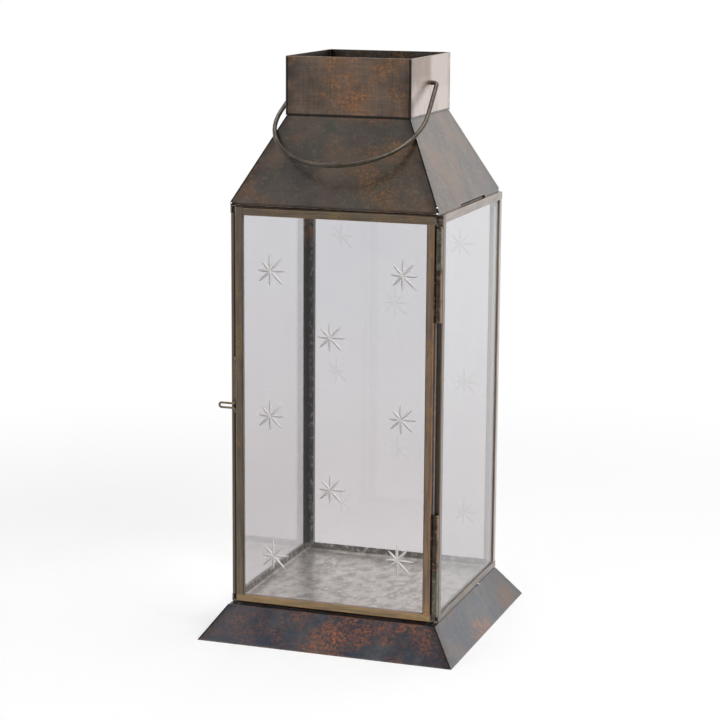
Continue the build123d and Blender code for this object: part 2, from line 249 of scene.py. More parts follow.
@dataclass(frozen=True)
class PatinatedCopper:
    """Copper sheet darkened in a bath, rubbed back by hand and waxed.

    A brown to slate film covers it, bare copper blooms through in grainy clouds, pale films and crossed
    brush marks lie over it, and the seams have a dark side of painted shade and a bright side of painted
    highlight and wear. A sheet may be rubbed back in one stretch along X or in spots, given along Y and Z,
    and grow darker along Y. Its two sides may be painted pale, a painted reflection of the bright room,
    and its inside kept grey.
    """

    name: str
    ground: str
    shade: str
    film: str
    stain: str
    bloom: str
    cut_level: float
    film_strength: float = 0.5
    stain_strength: float = 0.4
    bloom_strength: float = 0.8
    bloom_span: tuple[float, float] = (0.42, 0.66)
    bloom_mm: float = 40.0
    grain_mm: float = 1.8
    brush_strength: float = 0.1
    fleck_strength: float = 0.25
    shift: float = 0.0
    edge: str = "#9c8672"
    seam_mm: float = 1.4
    rubbed: tuple[float, float] | None = None
    spots: tuple[tuple[float, float], ...] = ()
    spot_reach: float = 0.034
    spot_slimness: float = 2.8
    dim_from: float | None = None
    # Height of a painted shadow line, where the chimney sits on the roof
    shadow_line_level: float | None = None
    # Painted reflection: the sides at this half width turn this pale colour, except their front upper part
    reflection_half: float | None = None
    reflection_pale: str = "#d3c3bb"
    kept_above: float = 0.0
    inner_half: float | None = None

    def build(self) -> bpy.types.Material:
        """Make the material.

        Returns:
            The material.
        """
        surface = Surface(self.name, self.ground)
        wide = surface.cloud(55, (0.36, 0.64), detail=3, shift=self.shift)
        surface.paint(self.shade, (wide,))
        film = surface.cloud(28, (0.5, 0.74), detail=5, shift=self.shift + 3)
        surface.paint(self.film, (film,), self.film_strength)
        grain = surface.cloud(self.grain_mm, (0.4, 0.66), (1.4, 1.4, 1.0), detail=3, shift=11)
        self._bare_copper(surface, grain)
        flecks = surface.cloud(3.2, (0.52, 0.74), detail=3, shift=31)
        surface.paint(self.edge, (flecks,), self.fleck_strength)
        # Brush marks are a few tenths of a millimetre wide, drawn three times as coarse so that they show
        for dark, stretch, shift in (("#808080", (1, 1, 12), 17), ("#8a8a8a", (12, 12, 1), 19)):
            marks = surface.cloud(1.4, (0.3, 0.7), stretch, detail=1, shift=shift)
            surface.paint(dark, (marks,), self.brush_strength, Layer.SHADE)
        if self.reflection_half:
            self._paint_reflection_sides(surface)
        if self.dim_from:
            dim = add_node(surface.tree, "MapRange", SMOOTHSTEP, {
                "Value": surface.axes[1], "From Min": self.dim_from, "From Max": self.dim_from + 70 * MM})
            surface.paint("#8c8c90", (dim.outputs[0],), 0.7, Layer.SHADE)
        self._mark_edges(surface)
        return surface.finish(grain, SHEET_ROUGH, wide, 0.35, 0.9, coat=0.6)

    def _bare_copper(self, surface: Surface, grain: Socket) -> None:
        """Let copper through the film, in patches and spots.

        Args:
            surface: The material so far.
            grain: Mask of the grain in the patches.
        """
        tree = surface.tree
        masks = (surface.cloud(self.bloom_mm, self.bloom_span, (1.5, 1.5, 1.0), shift=self.shift + 7),)
        if self.rubbed:
            middle, reach = self.rubbed
            offset = add_node(tree, "Math", {"operation": "SUBTRACT"}, {0: surface.axes[0], 1: middle})
            aside = add_node(tree, "Math", {"operation": "ABSOLUTE"}, {0: offset.outputs[0]})
            stretch = add_node(tree, "MapRange", SMOOTHSTEP, {
                "Value": aside.outputs[0], "From Min": reach + 30 * MM, "From Max": reach, "To Min": 0.35})
            masks += (stretch.outputs[0],)
        surface.paint(self.stain, masks, self.stain_strength)
        surface.paint(self.bloom, masks + (grain,), self.bloom_strength)
        slim = self.spot_slimness
        for along, height in self.spots:
            offset = add_node(tree, "VectorMath", {"operation": "MULTIPLY_ADD"}, {
                0: surface.place, 1: (0, 1, slim), 2: (0, -along, -slim * height)})
            aside = add_node(tree, "VectorMath", {"operation": "LENGTH"}, {0: offset.outputs[0]})
            spot = add_node(tree, "MapRange", SMOOTHSTEP, {
                "Value": aside.outputs["Value"], "From Min": self.spot_reach, "From Max": 0.0})
            surface.paint(self.bloom, (spot.outputs[0], surface.cloud(7, (0.36, 0.6), detail=5, shift=41)))

    def _paint_reflection_sides(self, surface: Surface) -> None:
        """Paint the sides brown, then pale as a painted reflection, except their front upper part.

        Args:
            surface: The material so far.
        """
        tree = surface.tree
        aside = add_node(tree, "Math", {"operation": "ABSOLUTE"}, {0: surface.axes[0]}).outputs[0]
        side = add_node(tree, "Math", {"operation": "COMPARE"}, {
            0: aside, 1: self.reflection_half, 2: 0.05 * MM}).outputs[0]
        behind = add_node(tree, "MapRange", SMOOTHSTEP, {
            "Value": surface.axes[1], "From Min": -8 * MM, "From Max": 4 * MM, "To Max": 0.86}).outputs[0]
        below = add_node(tree, "MapRange", SMOOTHSTEP, {
            "Value": surface.axes[2], "From Min": self.kept_above + 9 * MM,
            "From Max": self.kept_above - 7 * MM}).outputs[0]
        pale_cover = add_node(tree, "Math", {"operation": "MAXIMUM"}, {0: behind, 1: below}).outputs[0]
        side_streaks = surface.cloud(14, (0.2, 0.5), (1, 1, 4), shift=29)
        # The sides take a brown tone, then a pale one that is a painted reflection of the bright room
        surface.paint("#98806f", (side, side_streaks), 0.7)
        surface.paint(self.reflection_pale, (side, pale_cover, side_streaks), 0.92)

    def _mark_edges(self, surface: Surface) -> None:
        """Paint seam shade on one side, a seam highlight with wear on the other, and mark the sheet's
        edges.

        Args:
            surface: The material so far.
        """
        tree = surface.tree
        across = [add_node(tree, "Math", {"operation": "ABSOLUTE"}, {0: axis}).outputs[0]
                  for axis in (surface.axes[0], surface.axes[1])]
        if self.inner_half:
            reach = add_node(tree, "Math", {"operation": "MAXIMUM"}, {0: across[0], 1: across[1]})
            inner = add_node(tree, "Math", {"operation": "LESS_THAN"}, {
                0: reach.outputs[0], 1: self.inner_half})
            surface.paint("#c4daf2", (inner.outputs[0],), 1.0, Layer.SHADE)
        past_seam = add_node(tree, "Math", {"operation": "SUBTRACT"}, {
            0: across[0], 1: across[1]}).outputs[0]
        shaded_side, highlight_and_worn_side = [add_node(tree, "Math", {"operation": "COMPARE"}, {
            0: past_seam, 1: side * (0.1 + self.seam_mm / 2) * MM, 2: self.seam_mm / 2 * MM}).outputs[0]
            for side in (-1, 1)]
        gap = add_node(tree, "Math", {"operation": "ABSOLUTE"}, {0: past_seam})
        near = add_node(tree, "MapRange", SMOOTHSTEP, {
            "Value": gap.outputs[0], "From Min": 11 * MM, "From Max": 0.0}).outputs[0]
        surface.paint("#6a625c", (near, surface.cloud(9, (0.25, 0.6), shift=37)), 0.6, Layer.SHADE)
        broken = surface.cloud(6, (0.35, 0.6), shift=23)
        # Painted shade on the front and back plates beside each corner seam, and a painted highlight with
        # wear on the side plates
        surface.paint("#4a4642", (shaded_side,), 0.8, Layer.SHADE)
        surface.paint(self.edge, (highlight_and_worn_side, broken), 0.7)
        cut = add_node(tree, "Math", {"operation": "COMPARE"}, {
            0: surface.axes[2], 1: self.cut_level, 2: 0.5 * MM})
        surface.paint(self.edge, (cut.outputs[0], broken), 0.9)
        # Painted shadow: a black line where the chimney sits on the roof
        if self.shadow_line_level:
            line = add_node(tree, "Math", {"operation": "COMPARE"}, {
                0: surface.axes[2], 1: self.shadow_line_level, 2: 1.3 * MM})
            surface.paint("#141210", (line.outputs[0],), 0.9)


@dataclass(frozen=True)
class AgedBrass:
    """Brass glazing channel, folded from strip and tarnished.

    Streaks along its length run from grey to golden brown, its folded edge has an orange line in places,
    of rubbed wear and painted highlight, dirt and painted shade darken its outer web, the lip beside the
    glass is darkened on uprights and given the edge colour on level rails, and pale putty beds the glass
    inside it. A channel beside the door may have painted shadow and dirt on its web, along the gap.
    Places across a channel are shares of its half width, outwards from its middle.
    """

    name: str
    ground: str
    shade: str
    glow: str
    edge: str
    web: str = "#6a625c"
    darkening: str = "#2e2b28"
    putty: str = "#b5aca3"
    metal: float = 0.9
    lip_strength: float = 0.6
    gap_strength: float = 0.0
    fold_at: float = 0.85
    fold_half: float = 0.12
    web_from: float = 0.98
    lip_span: tuple[float, float] = (-0.74, -0.98)
    bed_to: float = 0.9

    def build(self, came: "Came") -> bpy.types.Material:
        """Make the material for one channel.

        Args:
            came: The channel that it dresses, which gives its direction and width.

        Returns:
            The material.
        """
        surface = Surface(f"{self.name}_{came.node}", self.ground)
        tree = surface.tree
        stretch = [1.0, 1.0, 1.0]
        stretch[came.along.value] = 14.0
        # Rolling streaks are about half a millimetre wide, drawn several times as coarse so that they show
        streaks = surface.cloud(2.4, (0.34, 0.66), tuple(stretch), detail=5)
        surface.paint(self.shade, (streaks,), 0.85)
        golden = surface.cloud(24, (0.45, 0.68), shift=5)
        grain = surface.cloud(1.6, (0.35, 0.65), detail=5, shift=9)
        surface.paint(self.glow, (golden, grain), 0.8)
        offset = add_node(tree, "Math", {"operation": "SUBTRACT"}, {
            0: surface.axes[came.across], 1: came.middle})
        outward = add_node(tree, "Math", {"operation": "MULTIPLY"}, {
            0: offset.outputs[0], 1: came.outer / came.half}).outputs[0]
        fold = add_node(tree, "Math", {"operation": "COMPARE"}, {
            0: outward, 1: self.fold_at, 2: self.fold_half}).outputs[0]
        web = add_node(tree, "Math", {"operation": "GREATER_THAN"}, {
            0: outward, 1: self.web_from}).outputs[0]
        lip = add_node(tree, "MapRange", SMOOTHSTEP, {
            "Value": outward, "From Min": self.lip_span[0], "From Max": self.lip_span[1]}).outputs[0]
        rubbed = surface.cloud(9, (0.36, 0.6), shift=13)
        # Orange line along the fold: rubbed wear and a painted highlight
        surface.paint(self.edge, (fold, rubbed), 0.7)
        # Dirt and painted shade darken the outer web
        surface.paint(self.web, (web,), 0.9, Layer.SHADE)
        # Painted shadow and dirt on the web along the door's gap
        if self.gap_strength:
            depth = add_node(tree, "Math", {"operation": "ABSOLUTE"}, {0: surface.axes[came.deep]})
            inner = add_node(tree, "MapRange", SMOOTHSTEP, {
                "Value": depth.outputs[0], "From Min": abs(came.bed) + 0.1 * MM,
                "From Max": abs(came.bed) - 0.6 * MM})
            surface.paint(self.darkening, (web, inner.outputs[0]), self.gap_strength)
        surface.paint(self.darkening if came.along is Along.Z else self.edge, (lip,), self.lip_strength)
        inside = add_node(tree, "Math", {"operation": "LESS_THAN"}, {0: outward, 1: self.bed_to}).outputs[0]
        deep = add_node(tree, "Math", {"operation": "COMPARE"}, {
            0: surface.axes[came.deep], 1: came.bed, 2: came.bed_half}).outputs[0]
        bed = add_node(tree, "Math", {"operation": "MULTIPLY"}, {0: inside, 1: deep}).outputs[0]
        surface.paint(self.putty, (bed,))
        metal = add_node(tree, "Math", {"operation": "MULTIPLY_ADD"}, {
            0: bed, 1: -self.metal, 2: self.metal})
        return surface.finish(streaks, SHEET_ROUGH, grain, 0.02, metal.outputs[0], coat=0.5)


@dataclass(frozen=True)
class DrawnWire:
    """Drawn wire or tube: tarnish in patches and rubbed spots.

    A tube may have a painted highlight on its right side, from a place along X on.
    """

    name: str
    ground: str
    shade: str
    glow: str
    patch_mm: float
    rough: tuple[float, float] = SHEET_ROUGH
    highlight_from: float | None = None

    def build(self) -> bpy.types.Material:
        """Make the material.

        Returns:
            The material.
        """
        surface = Surface(self.name, self.ground)
        patches = surface.cloud(self.patch_mm, (0.36, 0.64), detail=5)
        surface.paint(self.shade, (patches,))
        rubs = surface.cloud(3, (0.52, 0.74), detail=6, shift=4)
        surface.paint(self.glow, (rubs,))
        if self.highlight_from:
            # Painted highlight on the tube's right side, where the light catches it
            beside = add_node(surface.tree, "MapRange", SMOOTHSTEP, {
                "Value": surface.axes[0], "From Min": self.highlight_from,
                "From Max": self.highlight_from + 0.6 * MM})
            surface.paint(self.glow, (beside.outputs[0], surface.cloud(12, (0.3, 0.5), shift=15)), 0.8)
        # Drawing marks are a tenth of a millimetre wide, drawn eight times as coarse so that they show
        grain = surface.cloud(0.8, (0.3, 0.7), detail=3, shift=8)
        return surface.finish(patches, self.rough, grain, 0.004, 0.95)


@dataclass(frozen=True)
class GalvanisedSteel:
    """Hot-dip galvanised sheet: cloudy pale zinc with darker blotches, small flakes and a dull shine.

    A lip may take a mottled stain and painted shade, its top may be rusty and its corner darker. From a
    distance beside the middle on, a pale cover may lie over it, painted light where it makes the right
    angle near white.
    """

    name: str
    zinc: str
    pale: str
    dark: str
    rough: tuple[float, float]
    stretch: tuple[float, float, float]
    metal: float = 0.85
    pale_cover: str | None = None
    pale_cover_from: float = 0.0
    lip_height: float | None = None
    stain: str = "#5a5754"
    rust_height: float | None = None
    rust: str = "#9a6e4a"
    dark_corner_from: float | None = None
    darkening: str = "#262322"

    def build(self) -> bpy.types.Material:
        """Make the material.

        Returns:
            The material.
        """
        surface = Surface(self.name, self.zinc)
        tree = surface.tree
        blotches = surface.cloud(7, (0.42, 0.62), self.stretch, detail=6)
        surface.paint(self.dark, (blotches,), 0.85)
        flakes = surface.cloud(3.2, (0.5, 0.68), self.stretch, detail=6, shift=6)
        surface.paint(self.pale, (flakes,), 0.75)
        specks = surface.cloud(1.2, (0.55, 0.75), self.stretch, shift=12)
        surface.paint("#6f6b67", (specks,), 0.4)
        aside = add_node(tree, "Math", {"operation": "ABSOLUTE"}, {0: surface.axes[0]}).outputs[0]
        if self.dark_corner_from:
            corner = add_node(tree, "MapRange", SMOOTHSTEP, {
                "Value": aside, "From Min": self.dark_corner_from, "From Max": self.dark_corner_from + 3 * MM})
            surface.paint(self.darkening, (corner.outputs[0],), 0.8)
        if self.lip_height:
            lip = add_node(tree, "MapRange", SMOOTHSTEP, {
                "Value": surface.axes[2], "From Min": self.lip_height,
                "From Max": self.lip_height + 1.2 * MM})
            inside = add_node(tree, "Math", {"operation": "LESS_THAN"}, {0: aside, 1: self.pale_cover_from})
            # Mottled stain and painted shade on the lip's inner faces
            mottled = surface.cloud(5, (0.22, 0.56), shift=21)
            surface.paint(self.stain, (lip.outputs[0], inside.outputs[0], mottled), 0.9)
        # A pale cover from a distance beside the middle on; on the right angle it is painted light
        if self.pale_cover:
            outside = add_node(tree, "Math", {"operation": "GREATER_THAN"}, {0: aside, 1: self.pale_cover_from})
            surface.paint(self.pale_cover, (outside.outputs[0],), 0.8)
        if self.rust_height:
            high = add_node(tree, "MapRange", SMOOTHSTEP, {
                "Value": surface.axes[2], "From Min": self.rust_height,
                "From Max": self.rust_height + 20 * MM})
            surface.paint(self.rust, (high.outputs[0], surface.cloud(6, (0.3, 0.5), shift=18)), 0.8)
        return surface.finish(flakes, self.rough, flakes, 0.02, self.metal)


@dataclass(frozen=True)
class FloatGlass:
    """Clear window glass: faintly grey, with a sharp reflection, light smears and dust towards its foot."""

    name: str = "float_glass"
    tint: str = "#e8e8ea"
    smear: str = "#e6e6e9"
    dust: str = "#eae7e8"
    dust_span: tuple[float, float] = (0.36, 0.04)

    def build(self) -> bpy.types.Material:
        """Make the material.

        Returns:
            The material.
        """
        surface = Surface(self.name, self.tint)
        smears = surface.cloud(70, (0.4, 0.65), detail=2)
        surface.paint(self.smear, (smears,))
        low = add_node(surface.tree, "MapRange", SMOOTHSTEP, {
            "Value": surface.axes[2], "From Min": self.dust_span[0], "From Max": self.dust_span[1]})
        surface.paint(self.dust, (low.outputs[0],))
        return surface.glaze(0.0, 1.0)


@dataclass(frozen=True)
class GroundGlass:
    """Facets left by a cutting wheel: matt and whitish, bright towards the light and grey away from it.

    Cuts from a place along X on may be greyer.
    """

    name: str
    transmission: float
    rough: float
    colour: str
    dull: str
    grey: str | None = None
    grey_from: float = 0.0

    def build(self) -> bpy.types.Material:
        """Make the material.

        Returns:
            The material.
        """
        surface = Surface(self.name, self.colour)
        # The wheel's grit is under a tenth of a millimetre, drawn several times as coarse so that it shows
        grit = surface.cloud(0.5, (0.3, 0.7), detail=3)
        surface.paint(self.dull, (grit,))
        if self.grey:
            beside = add_node(surface.tree, "Math", {"operation": "GREATER_THAN"}, {
                0: surface.axes[0], 1: self.grey_from})
            surface.paint(self.grey, (beside.outputs[0],))
        return surface.glaze(self.rough, self.transmission)


@dataclass(frozen=True)
class TinSolder:
    """Tin solder that set in drops: bright silver with a dull grey skin in places."""

    name: str = "tin_solder"
    bright: str = "#dcdcde"
    dull: str = "#8c8884"

    def build(self) -> bpy.types.Material:
        """Make the material.

        Returns:
            The material.
        """
        surface = Surface(self.name, self.bright)
        skin = surface.cloud(1.4, (0.5, 0.7))
        surface.paint(self.dull, (skin,))
        return surface.finish(skin, (0.2, 0.45), skin, 0.03, 1.0)


def deselect() -> None:
    """Leave edit mode and select nothing."""
    if bpy.context.object and bpy.context.object.mode != "OBJECT":
        bpy.ops.object.mode_set(mode="OBJECT")
    bpy.ops.object.select_all(action="DESELECT")


def dress(node: str, material: bpy.types.Material) -> None:
    """Give a CAD node its finish."""
    frame["nodes"][node].data.materials.clear()
    frame["nodes"][node].data.materials.append(material)


def join(pieces: list[bpy.types.Object], name: str) -> bpy.types.Object:
    """Join pieces into one object at the origin.

    Args:
        pieces: The pieces, whose places are in their meshes.
        name: Name of the joined piece.

    Returns:
        The joined piece.
    """
    deselect()
    for piece in pieces:
        piece.select_set(True)
    bpy.context.view_layer.objects.active = pieces[0]
    bpy.ops.object.join()
    pieces[0].name = name
    return pieces[0]


@dataclass
class Came:
    """One glazing channel of a frame, with the directions that its finish follows."""

    node: str
    pane: str
    along: Along = field(init=False)
    across: int = field(init=False)
    middle: float = field(init=False)
    half: float = field(init=False)
    outer: int = field(init=False)
    deep: int = field(init=False)
    bed: float = field(init=False)
    bed_half: float = field(init=False)

    def __post_init__(self) -> None:
        """Read the channel's length, face and outer side from the frame."""
        low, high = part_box(self.node)
        pane_low, pane_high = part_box(self.pane)
        size = high - low
        pane_size = pane_high - pane_low
        thin = min(range(3), key=lambda axis: pane_size[axis])
        long = max(range(3), key=lambda axis: size[axis])
        self.along = Along(long)
        self.across = 3 - thin - long
        self.middle = (low[self.across] + high[self.across]) / 2
        self.half = size[self.across] / 2
        pane_middle = (pane_low[self.across] + pane_high[self.across]) / 2
        self.outer = 1 if self.middle > pane_middle else -1
        self.deep = thin
        self.bed = (pane_low[thin] + pane_high[thin]) / 2
        self.bed_half = pane_size[thin] / 2 + PUTTY_MARGIN


@dataclass
class GlazedFrame:
    """A rectangle of glazing channels round one pane, with the brass of each channel."""

    panel: str
    cames: dict[str, AgedBrass]

    def dress(self) -> None:
        """Give each channel its own streaks and edges."""
        for member, brass in self.cames.items():
            came = Came(f"{self.panel}_{member}", f"{self.panel}_pane")
            dress(came.node, brass.build(came))
            log.info("dressed %s", came.node)


@dataclass
class StarCutPane:
    """A pane with wheel-cut stars on one face, standing for the plain pane of the frame.

    Sizes are in millimetres, and angles in degrees. A star is given by its place across the lantern and its
    height above the ground. A ray is a V-shaped cut, deepest nearer to the star's middle, and the lengths
    run anticlockwise from the ray on the right.
    """

    node: str
    body: str
    cut_face: CutFace
    stars: tuple[tuple[float, float], ...]
    arris: float = 0.3
    rays: tuple[float, ...] = (13.4, 12.8, 12.9, 10.9, 9.8, 12.3, 12.0, 15.4)
    ray_width: float = 2.4
    ray_depth: float = 1.0
    belly: tuple[float, float, float] = (0.13, 0.38, 0.74)
    unevenness: float = 0.06
    sway: float = 2.0
    seed: int = 5

    def build(self, clear: bpy.types.Material, ground: bpy.types.Material) -> bpy.types.Object:
        """Model the pane and cut its stars.

        Args:
            clear: Finish of the glass.
            ground: Finish of the cut facets.

        Returns:
            The pane.
        """
        low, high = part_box(self.node)
        deselect()
        bpy.ops.mesh.primitive_cube_add(size=1, location=(low + high) / 2, scale=high - low)
        pane = bpy.context.object
        pane.name = f"{self.node}_cut"
        bpy.ops.object.transform_apply(location=True, rotation=True, scale=True)
        bpy.ops.object.mode_set(mode="EDIT")
        bpy.ops.mesh.select_all(action="SELECT")
        bpy.ops.mesh.bevel(offset=self.arris * MM, segments=1, affect="EDGES")
        bpy.ops.object.mode_set(mode="OBJECT")
        pane.data.materials.append(clear)
        cutter = self._stars((low.y, high.y)[self.cut_face.value])
        cutter.data.materials.append(ground)
        cut = pane.modifiers.new("stars", "BOOLEAN")
        cut.object = cutter
        cut.operation = "DIFFERENCE"
        cut.solver = "EXACT"
        cut.use_self = True
        cut.material_mode = "TRANSFER"
        deselect()
        bpy.context.view_layer.objects.active = pane
        pane.select_set(True)
        bpy.ops.object.modifier_apply(modifier=cut.name)
        bpy.data.objects.remove(cutter, do_unlink=True)
        pane.visible_shadow = False
        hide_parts(self.node)
        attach(pane, self.body)
        log.info("cut %s: %d faces", pane.name, len(pane.data.polygons))
        return pane

    def _ray(self) -> bpy.types.Object:
        """Model one cut of unit length along X: a four-sided leaf with its belly near the star's middle.

        Returns:
            The cut.
        """
        deselect()
        bpy.ops.mesh.primitive_uv_sphere_add(
            segments=4, ring_count=4, radius=0.5, location=(0.5, 0, 0), rotation=(0, math.radians(90), 0))
        ray = bpy.context.object
        bpy.ops.object.transform_apply(location=True, rotation=True, scale=True)
        rings = [0.5 - 0.5 * math.cos(math.radians(degrees)) for degrees in (45, 90, 135)]
        for ring, moved in zip(rings, self.belly):
            bpy.ops.object.mode_set(mode="EDIT")
            bpy.ops.mesh.select_all(action="DESELECT")
            bpy.ops.object.mode_set(mode="OBJECT")
            for vertex in ray.data.vertices:
                vertex.select = abs(vertex.co.x - ring) < 0.01
            bpy.ops.object.mode_set(mode="EDIT")
            bpy.ops.transform.translate(value=(moved - ring, 0, 0))
            bpy.ops.object.mode_set(mode="OBJECT")
        return ray

    def _stars(self, face: float) -> bpy.types.Object:
        """Copy the ray round every star of the layout and join the copies.

        Args:
            face: Place of the cut face along Y.

        Returns:
            The joined cutter.
        """
        draw = random.Random(self.seed)
        turn = Matrix.Rotation(math.radians(90), 4, "X")
        ray = self._ray()
        copies = []
        for across, height in self.stars:
            centre = Vector((across * MM, face, height * MM))
            for number, length in enumerate(self.rays):
                reach = length * (1 + draw.uniform(-self.unevenness, self.unevenness))
                size = Matrix.Diagonal((reach * MM, self.ray_width * MM, 2 * self.ray_depth * MM, 1))
                angle = math.radians(
                    360 / len(self.rays) * number + draw.uniform(-self.sway, self.sway))
                copy = ray.copy()
                copy.data = ray.data.copy()
                copy.data.transform(
                    Matrix.Translation(centre) @ turn @ Matrix.Rotation(angle, 4, "Z") @ size)
                bpy.context.collection.objects.link(copy)
                copies.append(copy)
        bpy.data.objects.remove(ray, do_unlink=True)
        return join(copies, f"{self.node}_stars")


@dataclass
class BentWire:
    """A round wire bent in one plane, standing for the flat-sided wire of the frame.

    Sizes are in millimetres, and angles in degrees. A move is a straight run's length, or a bend's radius
    and angle to the left.
    """

    node: str
    body: str
    slot: str
    diameter: float
    sides: int = 24
    bend_step: float = 6.0
    end_round: float = 0.4
    sharp_angle: float = 60.0
    smooth_angle: float = 40.0

    def build(
        self,
        start: Vector,
        heading: Vector,
        upward: Vector,
        moves: tuple[float | tuple[float, float], ...],
        finish: bpy.types.Material,
    ) -> bpy.types.Object:
        """Draw the wire out from a ring, run by run and bend by bend.

        Args:
            start: Middle of the wire's first end, in metres.
            heading: Direction of the first run.
            upward: Direction square to the plane of the bends.
            moves: The runs and bends in order.
            finish: Finish of the wire.

        Returns:
            The wire.
        """
        deselect()
        bpy.ops.mesh.primitive_circle_add(
            vertices=self.sides, radius=self.diameter / 2 * MM, location=start,
            rotation=heading.to_track_quat("Z", "Y").to_euler())
        wire = bpy.context.object
        wire.name = f"{self.node}_drawn"
        bpy.ops.object.transform_apply(location=True, rotation=True, scale=True)
        bpy.ops.object.mode_set(mode="EDIT")
        bpy.ops.mesh.select_all(action="SELECT")
        point = start.copy()
        for move in moves:
            if isinstance(move, tuple):
                radius, degrees = move
                side = math.copysign(1, degrees)
                centre = point + upward.cross(heading) * radius * MM * side
                # A positive spin turns to the right about its axis
                bpy.ops.mesh.spin(
                    steps=math.ceil(abs(degrees) / self.bend_step), angle=-math.radians(degrees),
                    center=centre, axis=upward)
                turn = Matrix.Rotation(math.radians(degrees), 3, upward)
                point = centre + turn @ (point - centre)
                heading = turn @ heading
            else:
                bpy.ops.mesh.extrude_region_move(TRANSFORM_OT_translate={"value": heading * move * MM})
                point = point + heading * move * MM
        bpy.ops.mesh.select_all(action="SELECT")
        bpy.ops.mesh.remove_doubles(threshold=0.01 * MM)
        bpy.ops.mesh.fill_holes(sides=0)
        bpy.ops.mesh.select_all(action="SELECT")
        bpy.ops.mesh.normals_make_consistent(inside=False)
        bpy.ops.object.mode_set(mode="OBJECT")
        rounding = wire.modifiers.new("ends", "BEVEL")
        rounding.width = self.end_round * MM
        rounding.segments = 2
        rounding.limit_method = "ANGLE"
        rounding.angle_limit = math.radians(self.sharp_angle)
        bpy.ops.object.modifier_apply(modifier=rounding.name)
        bpy.ops.object.shade_smooth_by_angle(angle=math.radians(self.smooth_angle))
        wire.data.materials.append(finish)
        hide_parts(self.node)
        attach(wire, self.body)
        log.info("drew %s: %d faces", wire.name, len(wire.data.polygons))
        return wire


@dataclass
class Bail:
    """The wire handle, which swings in the chimney's two holes and rests on the front hips.

    Sizes are in millimetres.
    """

    wire: float = 3.4
    sheet: float = 0.8
    stub: float = 7.0
    standoff: float = 4.6
    bend: float = 3.4
    spread: float = 4.4
    reach: float = 48.5

    def build(self, finish: bpy.types.Material) -> bpy.types.Object:
        """Bend the handle from one wire.

        Args:
            finish: Finish of the wire.

        Returns:
            The handle.
        """
        chimney_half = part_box("chimney")[1].x / MM
        joint = next(joint for joint in frame["joints"] if joint["name"] == "bail_swing")
        pivot = Vector(joint["pos_m"])
        leg_half = chimney_half + self.standoff
        radius = leg_half + self.spread
        span = math.hypot(leg_half, self.reach)
        splay = math.degrees(math.atan2(self.reach, leg_half) - math.acos(radius / span))
        corner = (self.bend, 90 - splay)
        corner_run = self.bend * math.tan(math.radians(corner[1] / 2))
        leg = math.sqrt(span ** 2 - radius ** 2) - corner_run
        stub_end = chimney_half - self.sheet - self.stub
        stub = leg_half - stub_end - corner_run
        fall = pivot.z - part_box("bail")[0].z - self.wire / 2 * MM
        drop = math.asin(fall / ((self.reach + radius) * MM))
        moves = (stub, corner, leg, (radius, 180 + 2 * splay), leg, corner, stub)
        return BentWire("bail", "bail", "bail_wire", self.wire).build(
            pivot + Vector((stub_end * MM, 0, 0)), Vector((1, 0, 0)),
            Vector((0, math.sin(drop), -math.cos(drop))), moves, finish)


@dataclass
class CatchWire:
    """The hairpin pull, soldered by its two tails to the door's free edge.

    Sizes are in millimetres.
    """

    wire: float = 1.7
    bend: float = 2.0
    pitch: float = 3.6
    upper_tail: float = 37.0
    lower_tail: float = 3.5

    def build(self, finish: bpy.types.Material) -> bpy.types.Object:
        """Bend the pull from one wire.

        Args:
            finish: Finish of the wire.

        Returns:
            The pull.
        """
        low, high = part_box("door_catch_wire")
        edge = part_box("door_catch_stile")[0].x
        loop = self.pitch / 2
        run = (edge - low.x) / MM - self.wire - self.bend - loop
        bend = (self.bend, -90)
        moves = (
            self.upper_tail - self.bend, bend, run, (loop, 180), run, bend,
            self.lower_tail - self.bend)
        start = Vector((edge - self.wire / 2 * MM, (low.y + high.y) / 2, high.z))
        return BentWire("door_catch_wire", "door", "brass_wire", self.wire, end_round=0.2).build(
            start, Vector((0, 0, -1)), Vector((0, -1, 0)), moves, finish)


@dataclass
class SolderDrop:
    """One drop of solder: its place and radius in millimetres, how flat it set and where it ran."""

    place: tuple[float, float, float]
    radius: float
    flatness: float = 0.75
    run: tuple[float, float, float] = (0.0, 0.0, 0.0)


